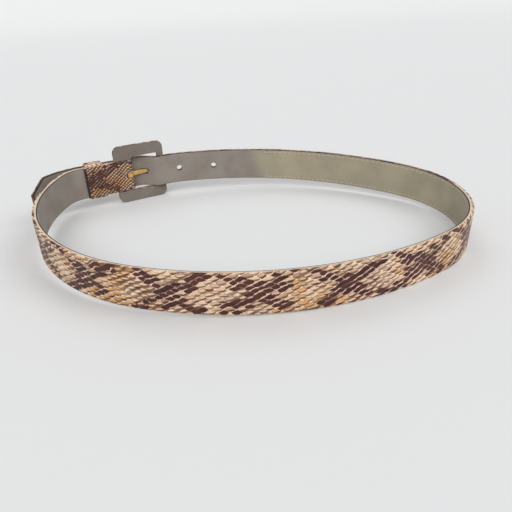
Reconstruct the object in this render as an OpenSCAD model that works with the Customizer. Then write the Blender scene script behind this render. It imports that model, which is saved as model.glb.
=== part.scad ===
// Snakeskin-print leather belt, fastened in a loop and standing on its edge.
// The strap is drawn as a walk of straights and arcs along the inside face of its lining.
// Walk directions: s runs along the strap from the heel bar to the tip, n points away from the wearer.

/* [Strap] */
// Width of the strap
strap_w = 23.5; // [20:0.5:30]
// Thickness of the printed cover
cover_t = 0.9; // [0.7:0.1:1.1]
// Thickness of the filler board
core_t = 1.5; // [1.4:0.1:1.8]
// Thickness of the lining
lining_t = 0.6; // [0.5:0.1:0.8]
// How far the lining stays back from the strap's edges
lining_inset = 0.2; // [0.1:0.1:1]
// Length of the tapered tip
tip_len = 12; // [10:0.5:18]
// Height of the blunt end of the tip
nose_h = 7; // [4:0.5:12]

/* [Loop] */
// Length of the straight, doubled stretch beside the buckle
doubled_len = 35; // [34:0.5:45]
// Radius of the bend after the doubled stretch
corner_r = 18; // [16:1:22]
// Turn of that bend, degrees
corner_turn = 48; // [46:1:50]
// Turn of the left side, degrees
left_turn = 86; // [84:1:88]
// Radius of the front
front_r = 181; // [180:1:186]
// Turn of the front, degrees
front_turn = 54; // [54:1:57]
// Radius of the right end
end_r = 65; // [62:1:70]
// Turn of the right end, degrees
end_turn = 102; // [99:1:104]
// Radius of the bend before the buckle
hip_r = 60; // [50:1:70]
// Turn of that bend before the buckle, degrees
hip_turn = 18; // [16:1:20]
// Radius of the free tip's flare
flare_r = 44; // [40:1:52]
// Turn of the free tip's flare, degrees
flare_turn = 37; // [33:1:41]

/* [Linings] */
// Distance along the strap where the pocket lining starts
pocket_start = 112; // [100:1:118]
// Distance from the hole in use back to the end of the pocket lining
tip_panel = 89; // [84:1:140]
// Gap between two neighbouring lining panels
panel_gap = 0.2; // [0.1:0.05:0.4]

/* [Holes] */
// Diameter of a punched hole
hole_d = 4; // [3.4:0.1:4.4]
// Distance from hole to hole
hole_pitch = 27; // [22:0.5:28]
// Holes on each side of the one in use
holes_each_side = 2; // [1:1:2]

/* [Buckle] */
// Length of the buckle along the strap, from the heel bar to its far edge
frame_reach = 27.5; // [26.5:0.5:32]
// Length of the ears behind the heel bar
ear_len = 11; // [8:0.5:13]
// Width of the bars
bar_w = 9; // [7:0.5:11]
// Width of the bar that the prong rests on
rest_w = 5; // [4.5:0.5:7]
// Room above the strap in the window, where the strap lies low
window_gap = 2.2; // [2:0.1:4]
// Thickness of the buckle
frame_t = 3.2; // [3:0.1:3.6]
// Thickness of the leather round the buckle
wrap_t = 0.8; // [0.6:0.1:0.9]
// Thickness of the buckle's backing
backing_t = 0.6; // [0.5:0.1:0.8]
// Radius of the buckle's outer corners
frame_round = 5; // [3:0.5:6]
// Diameter of the heel bar
bar_d = 3.2; // [3:0.1:3.6]
// Diameter of the heel bar's ends in the frame
tenon_d = 1.2; // [1:0.1:1.4]
// Depth of the heel bar's ends in the frame
tenon_len = 4; // [3:0.5:5]

/* [Prong] */
// Width of the prong
prong_w = 3.4; // [2.8:0.1:3.4]
// Thickness of the prong
prong_t = 1.6; // [1.4:0.1:1.7]
// Play of the fastened prong, degrees
prong_play = 3; // [2:0.1:4]
// How far the prong stays back from the buckle's far edge
prong_back = 1.5; // [1:0.1:4]

/* [Turn-back and keeper] */
// Length of the turned-back end, from the heel bar
turnback_len = 33.5; // [33:0.5:34]
// Width of the keeper
keeper_w = 12.6; // [8:0.2:13]
// Thickness of the keeper
keeper_t = 1.1; // [0.9:0.1:1.3]
// How far the keeper stays back from the end of the turn-back
keeper_back = 1.4; // [1:0.1:2]

/* [Pocket and zip] */
// Length of the zip's teeth
zip_len = 150; // [130:1:152]
// Height of the slot in the lining
slot_h = 6.8; // [6.4:0.1:8]
// Height of the pocket
pocket_h = 18; // [16:0.5:20]
// Length of the pocket past each end of the zip
pocket_past = 7; // [6:0.5:8]
// Thickness of the pocket cloth
cloth_t = 0.2; // [0.15:0.05:0.3]
// Thickness of the zip tape
tape_t = 0.3; // [0.2:0.05:0.4]
// Height of a row of teeth
teeth_h = 1.3; // [1:0.1:1.5]
// Thickness of a row of teeth
teeth_t = 1.1; // [0.9:0.1:1.3]
// Gap between the rows of teeth
teeth_gap = 0.9; // [0.7:0.1:1]
// Length of a zip stop
stop_len = 2; // [1.6:0.1:2.4]
// Length of the slider
slider_len = 8; // [7:0.5:10]
// Thickness of the slider's plates
plate_t = 0.6; // [0.5:0.05:0.7]
// Diameter of the pull's pin
pull_pin_d = 1; // [0.9:0.05:1.2]
// Length of the pull
pull_len = 15; // [12:0.5:20]
// Height of the pull
pull_h = 4.4; // [4:0.1:5]
// Thickness of the pull
pull_t = 0.8; // [0.6:0.1:0.9]

/* [Fits] */
// Room between a pin and its hole, on each side
pin_fit = 0.05; // [0.03:0.01:0.08]
// Room between moving pieces
run_gap = 0.3; // [0.25:0.05:0.4]

/* [Hidden] */
$fn = 96;
// Overlap of fused shapes, reach of cuts past what they cut, and the glue line under sewn-in pieces
eps = 0.01;
past = 5;
glue = 0.03;

// Layers of the strap, counted out from the lining's inside face
strap_t = lining_t + core_t + cover_t;
core_n = lining_t + core_t;
mid_z = strap_w / 2;

// Stack at the heel bar, whose axis is at x = 0, y = 0
bar_r = bar_d / 2;
fold_r = bar_r + pin_fit;
path_y = fold_r - core_n;
eye_r = fold_r + cover_t;
prong_low = prong_t / 2;
frame_half = frame_t / 2;
rest_x = frame_reach - rest_w;
pass_y = -frame_half - run_gap - strap_t;
prong_tilt = asin((frame_half + run_gap - prong_low) / rest_x);
slope = 40;
edge_r = 3.2;
bend_in_r = strap_t + edge_r;
bend_in_x = rest_x;
pass_len = 1.5;
bend_out_r = 5;
bend_out_x = 9;
free_y = max(eye_r, prong_low + prong_t + bend_out_x * tan(prong_tilt + prong_play)) + run_gap;
climb_len = (free_y - pass_y - (bend_in_r + bend_out_r) * (1 - cos(slope))) / sin(slope);
over_x = bend_in_x - (bend_in_r + bend_out_r) * sin(slope) - climb_len * cos(slope);

// Closing the loop: the radii of the left side and of the back follow from the rest
function swing(h, turn) = [sin(h + turn) - sin(h), cos(h) - cos(h + turn)];
function ahead(h) = [cos(h), sin(h)];
function cross2(a, b) = a.x * b.y - a.y * b.x;
back_turn = 360 - corner_turn - left_turn - front_turn - end_turn - hip_turn;
left_h = 180 + corner_turn;
front_h = left_h + left_turn;
end_h = front_h + front_turn;
back_h = end_h + end_turn;
hip_h = back_h + back_turn;
left_swing = swing(left_h, left_turn);
back_swing = swing(back_h, back_turn);
to_close = [bend_in_x, pass_y] - [0, path_y]
    - (doubled_len + pass_len) * ahead(180)
    - corner_r * swing(180, corner_turn)
    - front_r * swing(front_h, front_turn)
    - end_r * swing(end_h, end_turn)
    - hip_r * swing(hip_h, hip_turn);
left_r = cross2(to_close, back_swing) / cross2(left_swing, back_swing);
back_r = cross2(left_swing, to_close) / cross2(left_swing, back_swing);

// The strap's walk: [length, 0] is a straight, [radius, turn] an arc, and a left turn is positive
WALK = [[doubled_len, 0], [corner_r, corner_turn], [left_r, left_turn], [front_r, front_turn],
    [end_r, end_turn], [back_r, back_turn], [hip_r, hip_turn], [pass_len, 0], [bend_in_r, -slope],
    [climb_len, 0], [bend_out_r, slope], [over_x + doubled_len, 0], [flare_r, flare_turn], [tip_len, 0]];
START = [0, path_y, 180];
function front_leg() = 3;
function climb_leg() = 9;

function seg_len(g) = g[1] == 0 ? g[0] : g[0] * abs(g[1]) * PI / 180;
function start_of(i, w = WALK) = i == 0 ? 0 : start_of(i - 1, w) + seg_len(w[i - 1]);
function step(p, g) = g[1] == 0
    ? [p.x + g[0] * cos(p.z), p.y + g[0] * sin(p.z), p.z]
    : let (side = sign(g[1]), d = side * g[0] * swing(p.z, g[1])) [p.x + d.x, p.y + d.y, p.z + g[1]];
function poses(w, p, i = 0) = i == len(w) ? [p] : concat([p], poses(w, step(p, w[i]), i + 1));
function part_of(s, w) = [for (i = [0 : len(w) - 1])
    let (a = start_of(i, w), b = min(s, start_of(i + 1, w)), g = w[i])
    if (b > a) g[1] == 0 ? [b - a, 0] : [g[0], g[1] * (b - a) / seg_len(g)]];
function pose_at(s, w = WALK, p = START) = let (q = poses(part_of(s, w), p)) q[len(q) - 1];
strap_len = start_of(len(WALK));

// The hole in use is where the prong's centre line crosses the middle of the strap
climb_p = pose_at(start_of(climb_leg()));
climb_mid = [climb_p.x, climb_p.y] + strap_t / 2 * ahead(climb_p.z - 90);
prong_mid = (prong_low + prong_t / 2) * ahead(90 + prong_tilt);
prong_way = cross2(prong_mid - climb_mid, ahead(prong_tilt)) / cross2(ahead(climb_p.z), ahead(prong_tilt));
used_s = start_of(climb_leg()) + prong_way;
skew = 90 - slope - prong_tilt;
play_len = norm(climb_mid + prong_way * ahead(climb_p.z)) * sin(prong_play) / cos(skew);
// The worn hole's round ends leave room for the corners of the prong
end_room = hole_d / 2 - sqrt(hole_d * hole_d - prong_w * prong_w) / 2;
worn_len = max(hole_d, strap_t * tan(skew) + prong_t / cos(skew) + play_len + 2 * (run_gap + end_room));
pocket_end = used_s - tip_panel;

// Front arc's centre, and the angles of the zip on it
front_p = pose_at(start_of(front_leg()));
front_c = [front_p.x, front_p.y] + front_r * ahead(front_p.z + 90);
front_mid = front_h + front_turn / 2 - 90;
function arc_deg(len) = len / front_r * 180 / PI;
zip_a = front_mid + arc_deg(zip_len) / 2;
slider_a = zip_a - arc_deg(slider_len / 2 + run_gap);
slider_travel = arc_deg(zip_len - slider_len - 2 * run_gap);
teeth_n = lining_t - teeth_t;
plate_n = teeth_n - run_gap;
rows_z = teeth_gap / 2 + teeth_h;
plate_z = rows_z + run_gap + plate_t;
pin_r = pull_pin_d / 2;
pull_eye_d = pull_t + 2 * pin_r;
pin_n = plate_n - plate_t - run_gap - pull_eye_d / 2;
lug_z = pin_r + 0.6;

// Buckle's edges: the opening is close to the strap up to a little past the heel bar, and higher after it
window_low = -run_gap;
window_top = strap_w + window_gap;
heel_top = strap_w + run_gap;
heel_x = bar_r + 2 * run_gap;
frame_low = window_low - bar_w;
frame_top = window_top + bar_w;
keeper_x = -turnback_len + keeper_back;
keeper_out = free_y + strap_t + run_gap;
cover_s = 2 * fold_r + 1.7;
core_s = cover_s + cover_t;

// How the belt stands: on the buckle's lower edge and on the front of the strap
front_y = front_c.y - front_r - strap_t;
lean = atan(-frame_low / (-frame_half - front_y));
left_p = pose_at(start_of(2));
left_x = left_p.x - left_r * sin(left_h) - left_r - strap_t;
end_p = pose_at(start_of(4));
right_x = end_p.x - end_r * sin(end_h) + end_r + strap_t;
near_y = front_y * cos(lean) - strap_w * sin(lean);
far_y = (keeper_out + keeper_t) * cos(lean);
lift = -front_y * sin(lean);
centre = [(left_x + right_x) / 2, (near_y + far_y) / 2];

echo(strap_len = strap_len, used_s = used_s, left_r = left_r, back_r = back_r, lean = lean, lift = lift,
    centre = centre, front_c = front_c, path_y = path_y, slider_a = slider_a, slider_travel = slider_travel,
    pin_n = pin_n, over_x = over_x, free_y = free_y, climb_len = climb_len);
echo(box = [left_x, right_x, near_y, far_y]);
for (k = [-holes_each_side : holes_each_side]) echo(hole = k, at = pose_at(used_s + k * hole_pitch));

module as_laid() { translate([-centre.x, -centre.y, lift]) rotate([lean, 0, 0]) children(); }
module at(s) { let (p = pose_at(s)) translate([p.x, p.y, 0]) rotate(p.z) children(); }

// Points of the walk, close enough together that a chord strays from its arc by no more than the sag
sag = 0.02;
function steps(g) = g[1] == 0 ? 1 : ceil(abs(g[1]) / (2 * acos(1 - sag / g[0])));
function beside(p, n) = [p.x + n * sin(p.z), p.y - n * cos(p.z)];
function marks(w) = concat([0], [for (i = [0 : len(w) - 1], k = [1 : steps(w[i])])
    start_of(i, w) + seg_len(w[i]) * k / steps(w[i])]);
function between(s0, s1, w) = concat([s0], [for (m = marks(w)) if (m > s0 + sag && m < s1 - sag) m], [s1]);
function line_poses(s0, s1, w, p) = [for (s = between(s0, s1, w)) pose_at(s, w, p)];
function line(ps, n) = [for (q = ps) beside(q, n)];
function turned(list) = [for (i = [len(list) - 1 : -1 : 0]) list[i]];
// A band along a list of places, from n0 to n1 outwards and z0 to z1 upwards
module band(ps, n0, n1, z0, z1) {
    translate([0, 0, z0]) linear_extrude(z1 - z0) polygon(concat(line(ps, n0), turned(line(ps, n1))));
}
module layer(s0, s1, n0, n1, z0, z1) { band(line_poses(s0, s1, WALK, START), n0, n1, z0, z1); }

// What the tip's taper cuts off, drawn back by an inset
module tip_cut(inset) {
    rise = (mid_z - nose_h / 2) / tip_len;
    blunt = nose_h / 2 - inset * sqrt(1 + rise * rise);
    far = tip_len + past;
    at(strap_len) for (side = [0, 1]) translate([0, past, mid_z]) mirror([0, 0, side]) rotate([90, 0, 0])
        linear_extrude(strap_t + 2 * past)
        polygon([[past, blunt - past * rise], [past, strap_w], [-far, strap_w], [-far, blunt + far * rise]]);
}
// A layer of the strap that ends in the tapered tip
module tipped(s0, n0, n1, inset) {
    difference() {
        layer(s0, strap_len - inset, n0, n1, inset, strap_w - inset);
        tip_cut(inset);
    }
}
// Places children flat on the strap's face, to be cut right through it
module through(s) {
    at(s) translate([0, past, mid_z]) rotate([90, 0, 0]) linear_extrude(strap_t + 2 * past) children();
}
module holes() {
    for (k = [-holes_each_side : holes_each_side])
        if (k != 0) through(used_s + k * hole_pitch) circle(d = hole_d);
    through(used_s + play_len / 2) {
        for (e = [-1, 1]) translate([e * (worn_len - hole_d) / 2, 0]) circle(d = hole_d);
        square([worn_len - hole_d, hole_d], center = true);
    }
}

// The turned-back end: it runs from its cut edge to the heel bar, steps away from the lining
// and goes round the bar
step_r = 4;
step_y = fold_r + path_y;
step_turn = acos(1 - step_y / 2 / step_r);
step_x = 2 * step_r * sin(step_turn);
TURNBACK = [[turnback_len - step_x, 0], [step_r, -step_turn], [step_r, step_turn], [fold_r, 180]];
TURNBACK_START = [-turnback_len, path_y, 0];

module strap_cover() {
    turnback = line_poses(0, start_of(len(TURNBACK), TURNBACK), TURNBACK, TURNBACK_START);
    strap = line_poses(cover_s, strap_len, WALK, START);
    shoulder = beside(pose_at(cover_s), core_n);
    color([0.78, 0.62, 0.45]) difference() {
        linear_extrude(strap_w) polygon(concat(line(turnback, 0), [shoulder], line(strap, lining_t),
            turned(line(strap, strap_t)), turned(line(turnback, cover_t))));
        tip_cut(0);
        tipped(core_s, lining_t / 2, core_n, cover_t);
        holes();
        translate([-step_x, -past, mid_z - prong_w / 2 - run_gap])
            cube([step_x + past, past + eye_r + run_gap / 2, prong_w + 2 * run_gap]);
    }
}

// A block on the front arc, between two angles
module arc_block(a0, a1, n0, n1, z0, z1) {
    translate([front_c.x, front_c.y, mid_z + z0]) rotate(a0) rotate_extrude(angle = a1 - a0)
        translate([front_r + n0, 0]) square([n1 - n0, z1 - z0]);
}
pocket_deg = arc_deg(zip_len + 2 * pocket_past) / 2;
tape_deg = pocket_deg - arc_deg(glue);
slot_deg = pocket_deg - arc_deg(pocket_past / 2);
module pocket_space(n0, n1, inset) {
    arc_block(front_mid - pocket_deg + arc_deg(inset), front_mid + pocket_deg - arc_deg(inset), n0, n1,
        inset - pocket_h / 2, pocket_h / 2 - inset);
}

module strap_core() {
    color([0.35, 0.28, 0.24]) difference() {
        tipped(core_s, lining_t, core_n, cover_t);
        pocket_space(0, strap_t, 0);
        holes();
    }
}

// A lining panel between two places on the strap
module panel(s0, s1) { layer(s0, s1, 0, lining_t, lining_inset, strap_w - lining_inset); }
keeper_s = -keeper_x;
module turnback_lining() {
    color([0.53, 0.5, 0.47]) panel(cover_s, keeper_s - keeper_w - panel_gap);
}
module buckle_end_lining() {
    color([0.53, 0.5, 0.47]) panel(keeper_s + panel_gap, pocket_start - panel_gap);
}
module pocket_lining() {
    color([0.59, 0.56, 0.47]) difference() {
        panel(pocket_start, pocket_end);
        arc_block(front_mid - slot_deg, front_mid + slot_deg, -lining_t, 2 * lining_t,
            -slot_h / 2, slot_h / 2);
    }
}
module tip_lining() {
    color([0.53, 0.5, 0.47]) difference() {
        panel(pocket_end + panel_gap, strap_len - lining_inset);
        tip_cut(lining_inset);
        holes();
    }
}

tape_n = lining_t + glue;
bag_n = tape_n + tape_t;
module pocket_bag() {
    color([0.25, 0.24, 0.22]) difference() {
        pocket_space(bag_n, core_n - glue, glue);
        pocket_space(bag_n - cloth_t, core_n - glue - cloth_t, cloth_t);
    }
}

// The zip: side 0 is the upper half and side 1 the lower
module half_zip(side) {
    translate([0, 0, mid_z]) mirror([0, 0, side]) translate([0, 0, -mid_z]) children();
}
module zip_tape(side) {
    color([0.3, 0.29, 0.26]) half_zip(side) arc_block(front_mid - tape_deg, front_mid + tape_deg,
        tape_n, bag_n, teeth_gap / 2, pocket_h / 2 - glue);
}
module zip_teeth(side) {
    color([0.72, 0.58, 0.33]) half_zip(side) arc_block(zip_a - arc_deg(zip_len), zip_a,
        teeth_n, tape_n, teeth_gap / 2, rows_z);
}
module zip_stop(a0) {
    color([0.72, 0.58, 0.33]) arc_block(a0, a0 + arc_deg(stop_len), teeth_n, tape_n, -rows_z, rows_z);
}

// Places children at an angle on the front arc: x points along the zip, y towards the wearer
module on_front(a) {
    translate([front_c.x, front_c.y, mid_z]) rotate(a + 90) translate([0, -front_r, 0]) children();
}
module slab(len, n0, n1, z0, z1) { translate([-len / 2, -n1, z0]) cube([len, n1 - n0, z1 - z0]); }
post_z = teeth_gap / 2 - run_gap / 2;
back_n = bag_n + run_gap / 2;
lug_len = pull_pin_d + 1.2;
lug_t = 0.7;
eye_h = 2 * lug_z;
module zip_slider() {
    lug_low = lug_z + run_gap / 2;
    color([0.72, 0.58, 0.33]) on_front(slider_a) union() {
        slab(slider_len, plate_n - plate_t, plate_n, -plate_z, plate_z);
        for (side = [0, 1]) mirror([0, 0, side]) {
            slab(slider_len, plate_n - eps, lining_t - run_gap, rows_z + run_gap, plate_z);
            slab(lug_len, pin_n - lug_len / 2, plate_n - eps, lug_low, lug_low + lug_t);
        }
        slab(slider_len / 3, plate_n - eps, back_n + eps, -post_z, post_z);
        slab(slider_len, back_n, back_n + plate_t, -rows_z, rows_z);
        translate([0, -pin_n, -lug_low - eps]) cylinder(r = pin_r, h = 2 * (lug_low + eps));
    }
}
module zip_pull() {
    color([0.72, 0.58, 0.33]) on_front(slider_a) translate([0, -pin_n, 0]) difference() {
        union() {
            translate([0, 0, -lug_z]) cylinder(d = pull_eye_d, h = eye_h);
            translate([-pull_len, -pull_t / 2, -lug_z]) cube([pull_len, pull_t, eye_h]);
            translate([-pull_len, -pull_t / 2, -pull_h / 2])
                cube([pull_len - lug_len - plate_t, pull_t, pull_h]);
        }
        translate([0, 0, -strap_w]) cylinder(r = pin_r + pin_fit, h = 2 * strap_w);
        translate([-pull_len * 0.8, past, 0]) rotate([90, 0, 0]) cylinder(d = pull_h / 2, h = 2 * past);
    }
}

// The buckle's outline, open behind the heel bar and close to the strap there, drawn in by an inset
module round_box(x0, x1, z0, z1, r) {
    translate([x0 + r, z0]) square([x1 - x0 - 2 * r, z1 - z0]);
    translate([x0, z0 + r]) square([x1 - x0, z1 - z0 - 2 * r]);
    for (x = [x0 + r, x1 - r], z = [z0 + r, z1 - r]) translate([x, z]) circle(r);
}
window_round = 1.5;
module buckle_plate(y0, y1, inset) {
    low = window_low - inset;
    corner_r = window_round + inset;
    translate([0, y1, 0]) rotate([90, 0, 0]) linear_extrude(y1 - y0) difference() {
        round_box(-ear_len + inset, frame_reach - inset, frame_low + inset, frame_top - inset,
            frame_round - inset);
        round_box(-frame_reach, rest_x + inset, low, heel_top + inset, corner_r);
        round_box(heel_x - inset, rest_x + inset, low, window_top + inset, corner_r);
    }
}
module heel_bore() {
    translate([0, 0, window_low - tenon_len])
        cylinder(d = tenon_d, h = heel_top - window_low + 2 * tenon_len);
}
back_y = -frame_half + backing_t;
module buckle_frame() {
    color([0.55, 0.53, 0.5]) difference() {
        buckle_plate(back_y, frame_half - wrap_t, wrap_t);
        heel_bore();
    }
}
module buckle_cover() {
    color([0.78, 0.62, 0.45]) difference() {
        buckle_plate(back_y, frame_half, 0);
        buckle_plate(back_y - past, frame_half - wrap_t, wrap_t);
        heel_bore();
    }
}
module buckle_backing() { color([0.48, 0.45, 0.42]) buckle_plate(-frame_half, back_y, lining_inset / 2); }
module heel_bar() {
    color([0.7, 0.7, 0.68]) union() {
        translate([0, 0, window_low + pin_fit])
            cylinder(r = bar_r, h = heel_top - window_low - 2 * pin_fit);
        heel_bore();
    }
}
module prong() {
    prong_end = frame_reach - prong_back;
    color([0.75, 0.6, 0.3]) translate([0, 0, mid_z - prong_w / 2]) difference() {
        union() {
            cylinder(r = eye_r, h = prong_w);
            rotate(prong_tilt) translate([0, prong_low, 0]) cube([prong_end, prong_t, prong_w]);
        }
        translate([0, 0, -past]) cylinder(r = fold_r, h = prong_w + 2 * past);
    }
}
module keeper_loop() {
    room = strap_w + 2 * run_gap;
    inner_y = path_y + lining_t;
    color([0.78, 0.62, 0.45])
    translate([keeper_x, 0, 0]) rotate([90, 0, 90]) linear_extrude(keeper_w) difference() {
        round_box(path_y, keeper_out + keeper_t, -run_gap - keeper_t, strap_w + run_gap + keeper_t, keeper_t);
        translate([inner_y, -run_gap]) square([keeper_out - inner_y, room]);
    }
}

as_laid() strap_cover();
as_laid() strap_core();
as_laid() turnback_lining();
as_laid() buckle_end_lining();
as_laid() pocket_lining();
as_laid() tip_lining();
as_laid() pocket_bag();
as_laid() zip_tape(0);  // zip_tape_upper
as_laid() zip_tape(1);  // zip_tape_lower
as_laid() zip_teeth(0);  // zip_teeth_upper
as_laid() zip_teeth(1);  // zip_teeth_lower
as_laid() zip_stop(zip_a);  // zip_top_stop
as_laid() zip_stop(zip_a - arc_deg(zip_len + stop_len));  // zip_bottom_stop
as_laid() zip_slider();
as_laid() zip_pull();
as_laid() buckle_frame();
as_laid() buckle_cover();
as_laid() buckle_backing();
as_laid() heel_bar();
as_laid() prong();
as_laid() keeper_loop();
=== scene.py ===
"""Looks of the snakeskin-print belt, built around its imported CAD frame.

Sizes are in millimetres, as in the part's source, and become metres where a point is laid in the row frame.
"""
import math

import bmesh
import bpy
import numpy as np
from mathutils import Matrix, Vector


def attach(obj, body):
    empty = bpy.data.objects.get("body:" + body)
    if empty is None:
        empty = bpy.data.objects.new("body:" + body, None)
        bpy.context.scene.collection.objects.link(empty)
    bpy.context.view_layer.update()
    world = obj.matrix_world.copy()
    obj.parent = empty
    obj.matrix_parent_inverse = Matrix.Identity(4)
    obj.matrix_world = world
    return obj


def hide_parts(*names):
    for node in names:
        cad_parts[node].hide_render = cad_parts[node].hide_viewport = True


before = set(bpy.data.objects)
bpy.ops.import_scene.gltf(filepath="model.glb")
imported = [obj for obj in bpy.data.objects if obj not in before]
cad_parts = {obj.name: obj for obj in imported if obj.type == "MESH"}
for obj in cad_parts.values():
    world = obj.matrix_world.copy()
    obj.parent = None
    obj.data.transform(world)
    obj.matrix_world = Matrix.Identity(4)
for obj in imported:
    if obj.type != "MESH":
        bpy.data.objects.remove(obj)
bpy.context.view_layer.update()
MM = 0.001

# Strap, as in the part's source
STRAP_W = 23.5
COVER_T = 0.9
CORE_T = 1.5
LINING_T = 0.6
STRAP_T = LINING_T + CORE_T + COVER_T
CORE_N = LINING_T + CORE_T
MID_Z = STRAP_W / 2
TIP_LEN = 12.0
NOSE_H = 7.0
POCKET_START = 112.0
TIP_PANEL = 89.0
PANEL_GAP = 0.2
HOLE_D = 4.0
HOLE_PITCH = 27.0
HOLES_EACH_SIDE = 2
RUN_GAP = 0.3
PIN_FIT = 0.05

# Buckle, prong and keeper
FRAME_REACH = 27.5
EAR_LEN = 11.0
BAR_W = 9.0
REST_W = 5.0
WINDOW_GAP = 2.2
FRAME_T = 3.2
BACKING_T = 0.6
FRAME_ROUND = 5.0
WINDOW_ROUND = 1.5
BAR_R = 1.6
PRONG_W = 3.4
PRONG_T = 1.6
PRONG_PLAY = 3.0
PRONG_BACK = 1.5
TURNBACK_LEN = 33.5
KEEPER_W = 12.6
KEEPER_T = 1.1
KEEPER_BACK = 1.4

# Loop
DOUBLED_LEN = 35.0
CORNER_R, CORNER_TURN = 18.0, 48.0
LEFT_TURN = 86.0
FRONT_R, FRONT_TURN = 181.0, 54.0
END_R, END_TURN = 65.0, 102.0
HIP_R, HIP_TURN = 60.0, 18.0
FLARE_R, FLARE_TURN = 44.0, 37.0

# Zip and pocket
ZIP_LEN = 150.0
SLOT_H = 6.8
POCKET_H = 18.0
POCKET_PAST = 7.0
TAPE_T = 0.3
GLUE = 0.03
TEETH_H = 1.3
TEETH_T = 1.1
TEETH_GAP = 0.9
STOP_LEN = 2.0
SLIDER_LEN = 8.0
PLATE_T = 0.6
PULL_PIN_D = 1.0
PULL_LEN = 15.0
PULL_H = 4.4
PULL_T = 0.8

# Stack at the heel bar
FOLD_R = BAR_R + PIN_FIT
PATH_Y = FOLD_R - CORE_N
EYE_R = FOLD_R + COVER_T
PRONG_LOW = PRONG_T / 2
FRAME_HALF = FRAME_T / 2
REST_X = FRAME_REACH - REST_W
PASS_Y = -FRAME_HALF - RUN_GAP - STRAP_T
PRONG_TILT = math.degrees(math.asin((FRAME_HALF + RUN_GAP - PRONG_LOW) / REST_X))
SLOPE = 40.0
BEND_IN_R = STRAP_T + 3.2
BEND_OUT_R = 5.0
BEND_OUT_X = 9.0
PASS_LEN = 1.5


def cosd(a):
    return math.cos(math.radians(a))


def sind(a):
    return math.sin(math.radians(a))


def spin(a, axis):
    return Matrix.Rotation(math.radians(a), 4, axis)


def ahead(h):
    return np.array([cosd(h), sind(h)])


def swing(h, turn):
    return np.array([sind(h + turn) - sind(h), cosd(h) - cosd(h + turn)])


def cross2(a, b):
    return a[0] * b[1] - a[1] * b[0]


rise = PRONG_LOW + PRONG_T + BEND_OUT_X * math.tan(math.radians(PRONG_TILT + PRONG_PLAY))
FREE_Y = max(EYE_R, rise) + RUN_GAP
CLIMB_LEN = (FREE_Y - PASS_Y - (BEND_IN_R + BEND_OUT_R) * (1 - cosd(SLOPE))) / sind(SLOPE)
OVER_X = REST_X - (BEND_IN_R + BEND_OUT_R) * sind(SLOPE) - CLIMB_LEN * cosd(SLOPE)

# Closing the loop: the radii of the left side and of the back follow from the rest
BACK_TURN = 360 - CORNER_TURN - LEFT_TURN - FRONT_TURN - END_TURN - HIP_TURN
LEFT_H = 180 + CORNER_TURN
FRONT_H = LEFT_H + LEFT_TURN
END_H = FRONT_H + FRONT_TURN
BACK_H = END_H + END_TURN
HIP_H = BACK_H + BACK_TURN
left_swing = swing(LEFT_H, LEFT_TURN)
back_swing = swing(BACK_H, BACK_TURN)
known = [(180, CORNER_R, CORNER_TURN), (FRONT_H, FRONT_R, FRONT_TURN), (END_H, END_R, END_TURN),
         (HIP_H, HIP_R, HIP_TURN)]
to_close = np.array([REST_X, PASS_Y - PATH_Y]) - (DOUBLED_LEN + PASS_LEN) * ahead(180)
to_close = to_close - sum(r * swing(h, turn) for h, r, turn in known)
LEFT_R = cross2(to_close, back_swing) / cross2(left_swing, back_swing)
BACK_R = cross2(left_swing, to_close) / cross2(left_swing, back_swing)

# A walk: (length, 0) is a straight, (radius, turn) an arc, and a left turn is positive
WALK = [(DOUBLED_LEN, 0), (CORNER_R, CORNER_TURN), (LEFT_R, LEFT_TURN), (FRONT_R, FRONT_TURN),
        (END_R, END_TURN), (BACK_R, BACK_TURN), (HIP_R, HIP_TURN), (PASS_LEN, 0), (BEND_IN_R, -SLOPE),
        (CLIMB_LEN, 0), (BEND_OUT_R, SLOPE), (OVER_X + DOUBLED_LEN, 0), (FLARE_R, FLARE_TURN), (TIP_LEN, 0)]
# Stretches of it by number
LEFT, FRONT, END, BEND_IN, CLIMB, OVER, FREE = 2, 3, 4, 8, 9, 11, 12
STEP_R = 4.0
STEP_TURN = math.degrees(math.acos(1 - (FOLD_R + PATH_Y) / 2 / STEP_R))
STEP_X = 2 * STEP_R * sind(STEP_TURN)
TURNBACK = [(TURNBACK_LEN - STEP_X, 0), (STEP_R, -STEP_TURN), (STEP_R, STEP_TURN), (FOLD_R, 180)]


def seg_len(g):
    return g[0] if g[1] == 0 else g[0] * math.radians(abs(g[1]))


class Walk:
    """Places along a list of straights and arcs, from a starting x, y and heading."""

    def __init__(self, segments, start):
        self.segments = segments
        self.starts = [0.0]
        self.poses = [start]
        for g in segments:
            self.poses.append(self.ahead_by(self.poses[-1], g, seg_len(g)))
            self.starts.append(self.starts[-1] + seg_len(g))
        self.length = self.starts[-1]

    @staticmethod
    def ahead_by(p, g, d):
        x, y, h = p
        if g[1] == 0:
            return (x + d * cosd(h), y + d * sind(h), h)
        turn = math.copysign(math.degrees(d / g[0]), g[1])
        sx, sy = math.copysign(g[0], g[1]) * swing(h, turn)
        return (x + sx, y + sy, h + turn)

    def at(self, s):
        i = 0
        while i < len(self.segments) - 1 and s > self.starts[i + 1]:
            i += 1
        return self.ahead_by(self.poses[i], self.segments[i], s - self.starts[i])


strap = Walk(WALK, (0.0, PATH_Y, 180.0))
turnback = Walk(TURNBACK, (-TURNBACK_LEN, PATH_Y, 0.0))
STRAP_LEN = strap.length

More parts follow.
